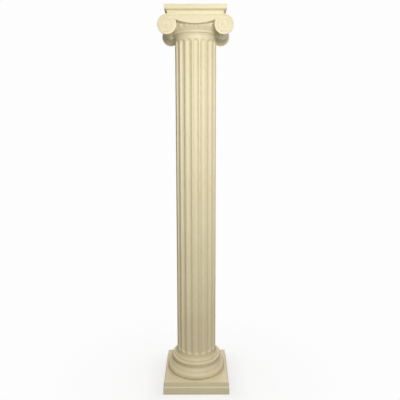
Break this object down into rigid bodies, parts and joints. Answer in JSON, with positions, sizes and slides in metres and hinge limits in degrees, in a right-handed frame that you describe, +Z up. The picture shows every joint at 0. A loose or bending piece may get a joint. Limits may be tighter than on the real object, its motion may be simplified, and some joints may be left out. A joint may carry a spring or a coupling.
{
  "type": "ionic column",
  "caption": "Free-standing moulded column with a square plinth, a round base, a fluted shaft and a scrolled capital, used to carry or frame a display.",
  "frame": {"origin": "middle of the plinth's underside, on the floor", "axes": "+Z up along the shaft, -Y towards the viewer with the volute faces looking along -Y and +Y, +X to the right"},
  "size_m": [0.386, 0.381, 2.1332],
  "materials": {
    "cream_moulding": "satin cream moulded resin with a faint cloudy tone"
  },
  "bodies": {
    "root": {"plinth": "cream_moulding", "base": "cream_moulding", "shaft": "cream_moulding", "capital": "cream_moulding"}
  },
  "joints": []
}
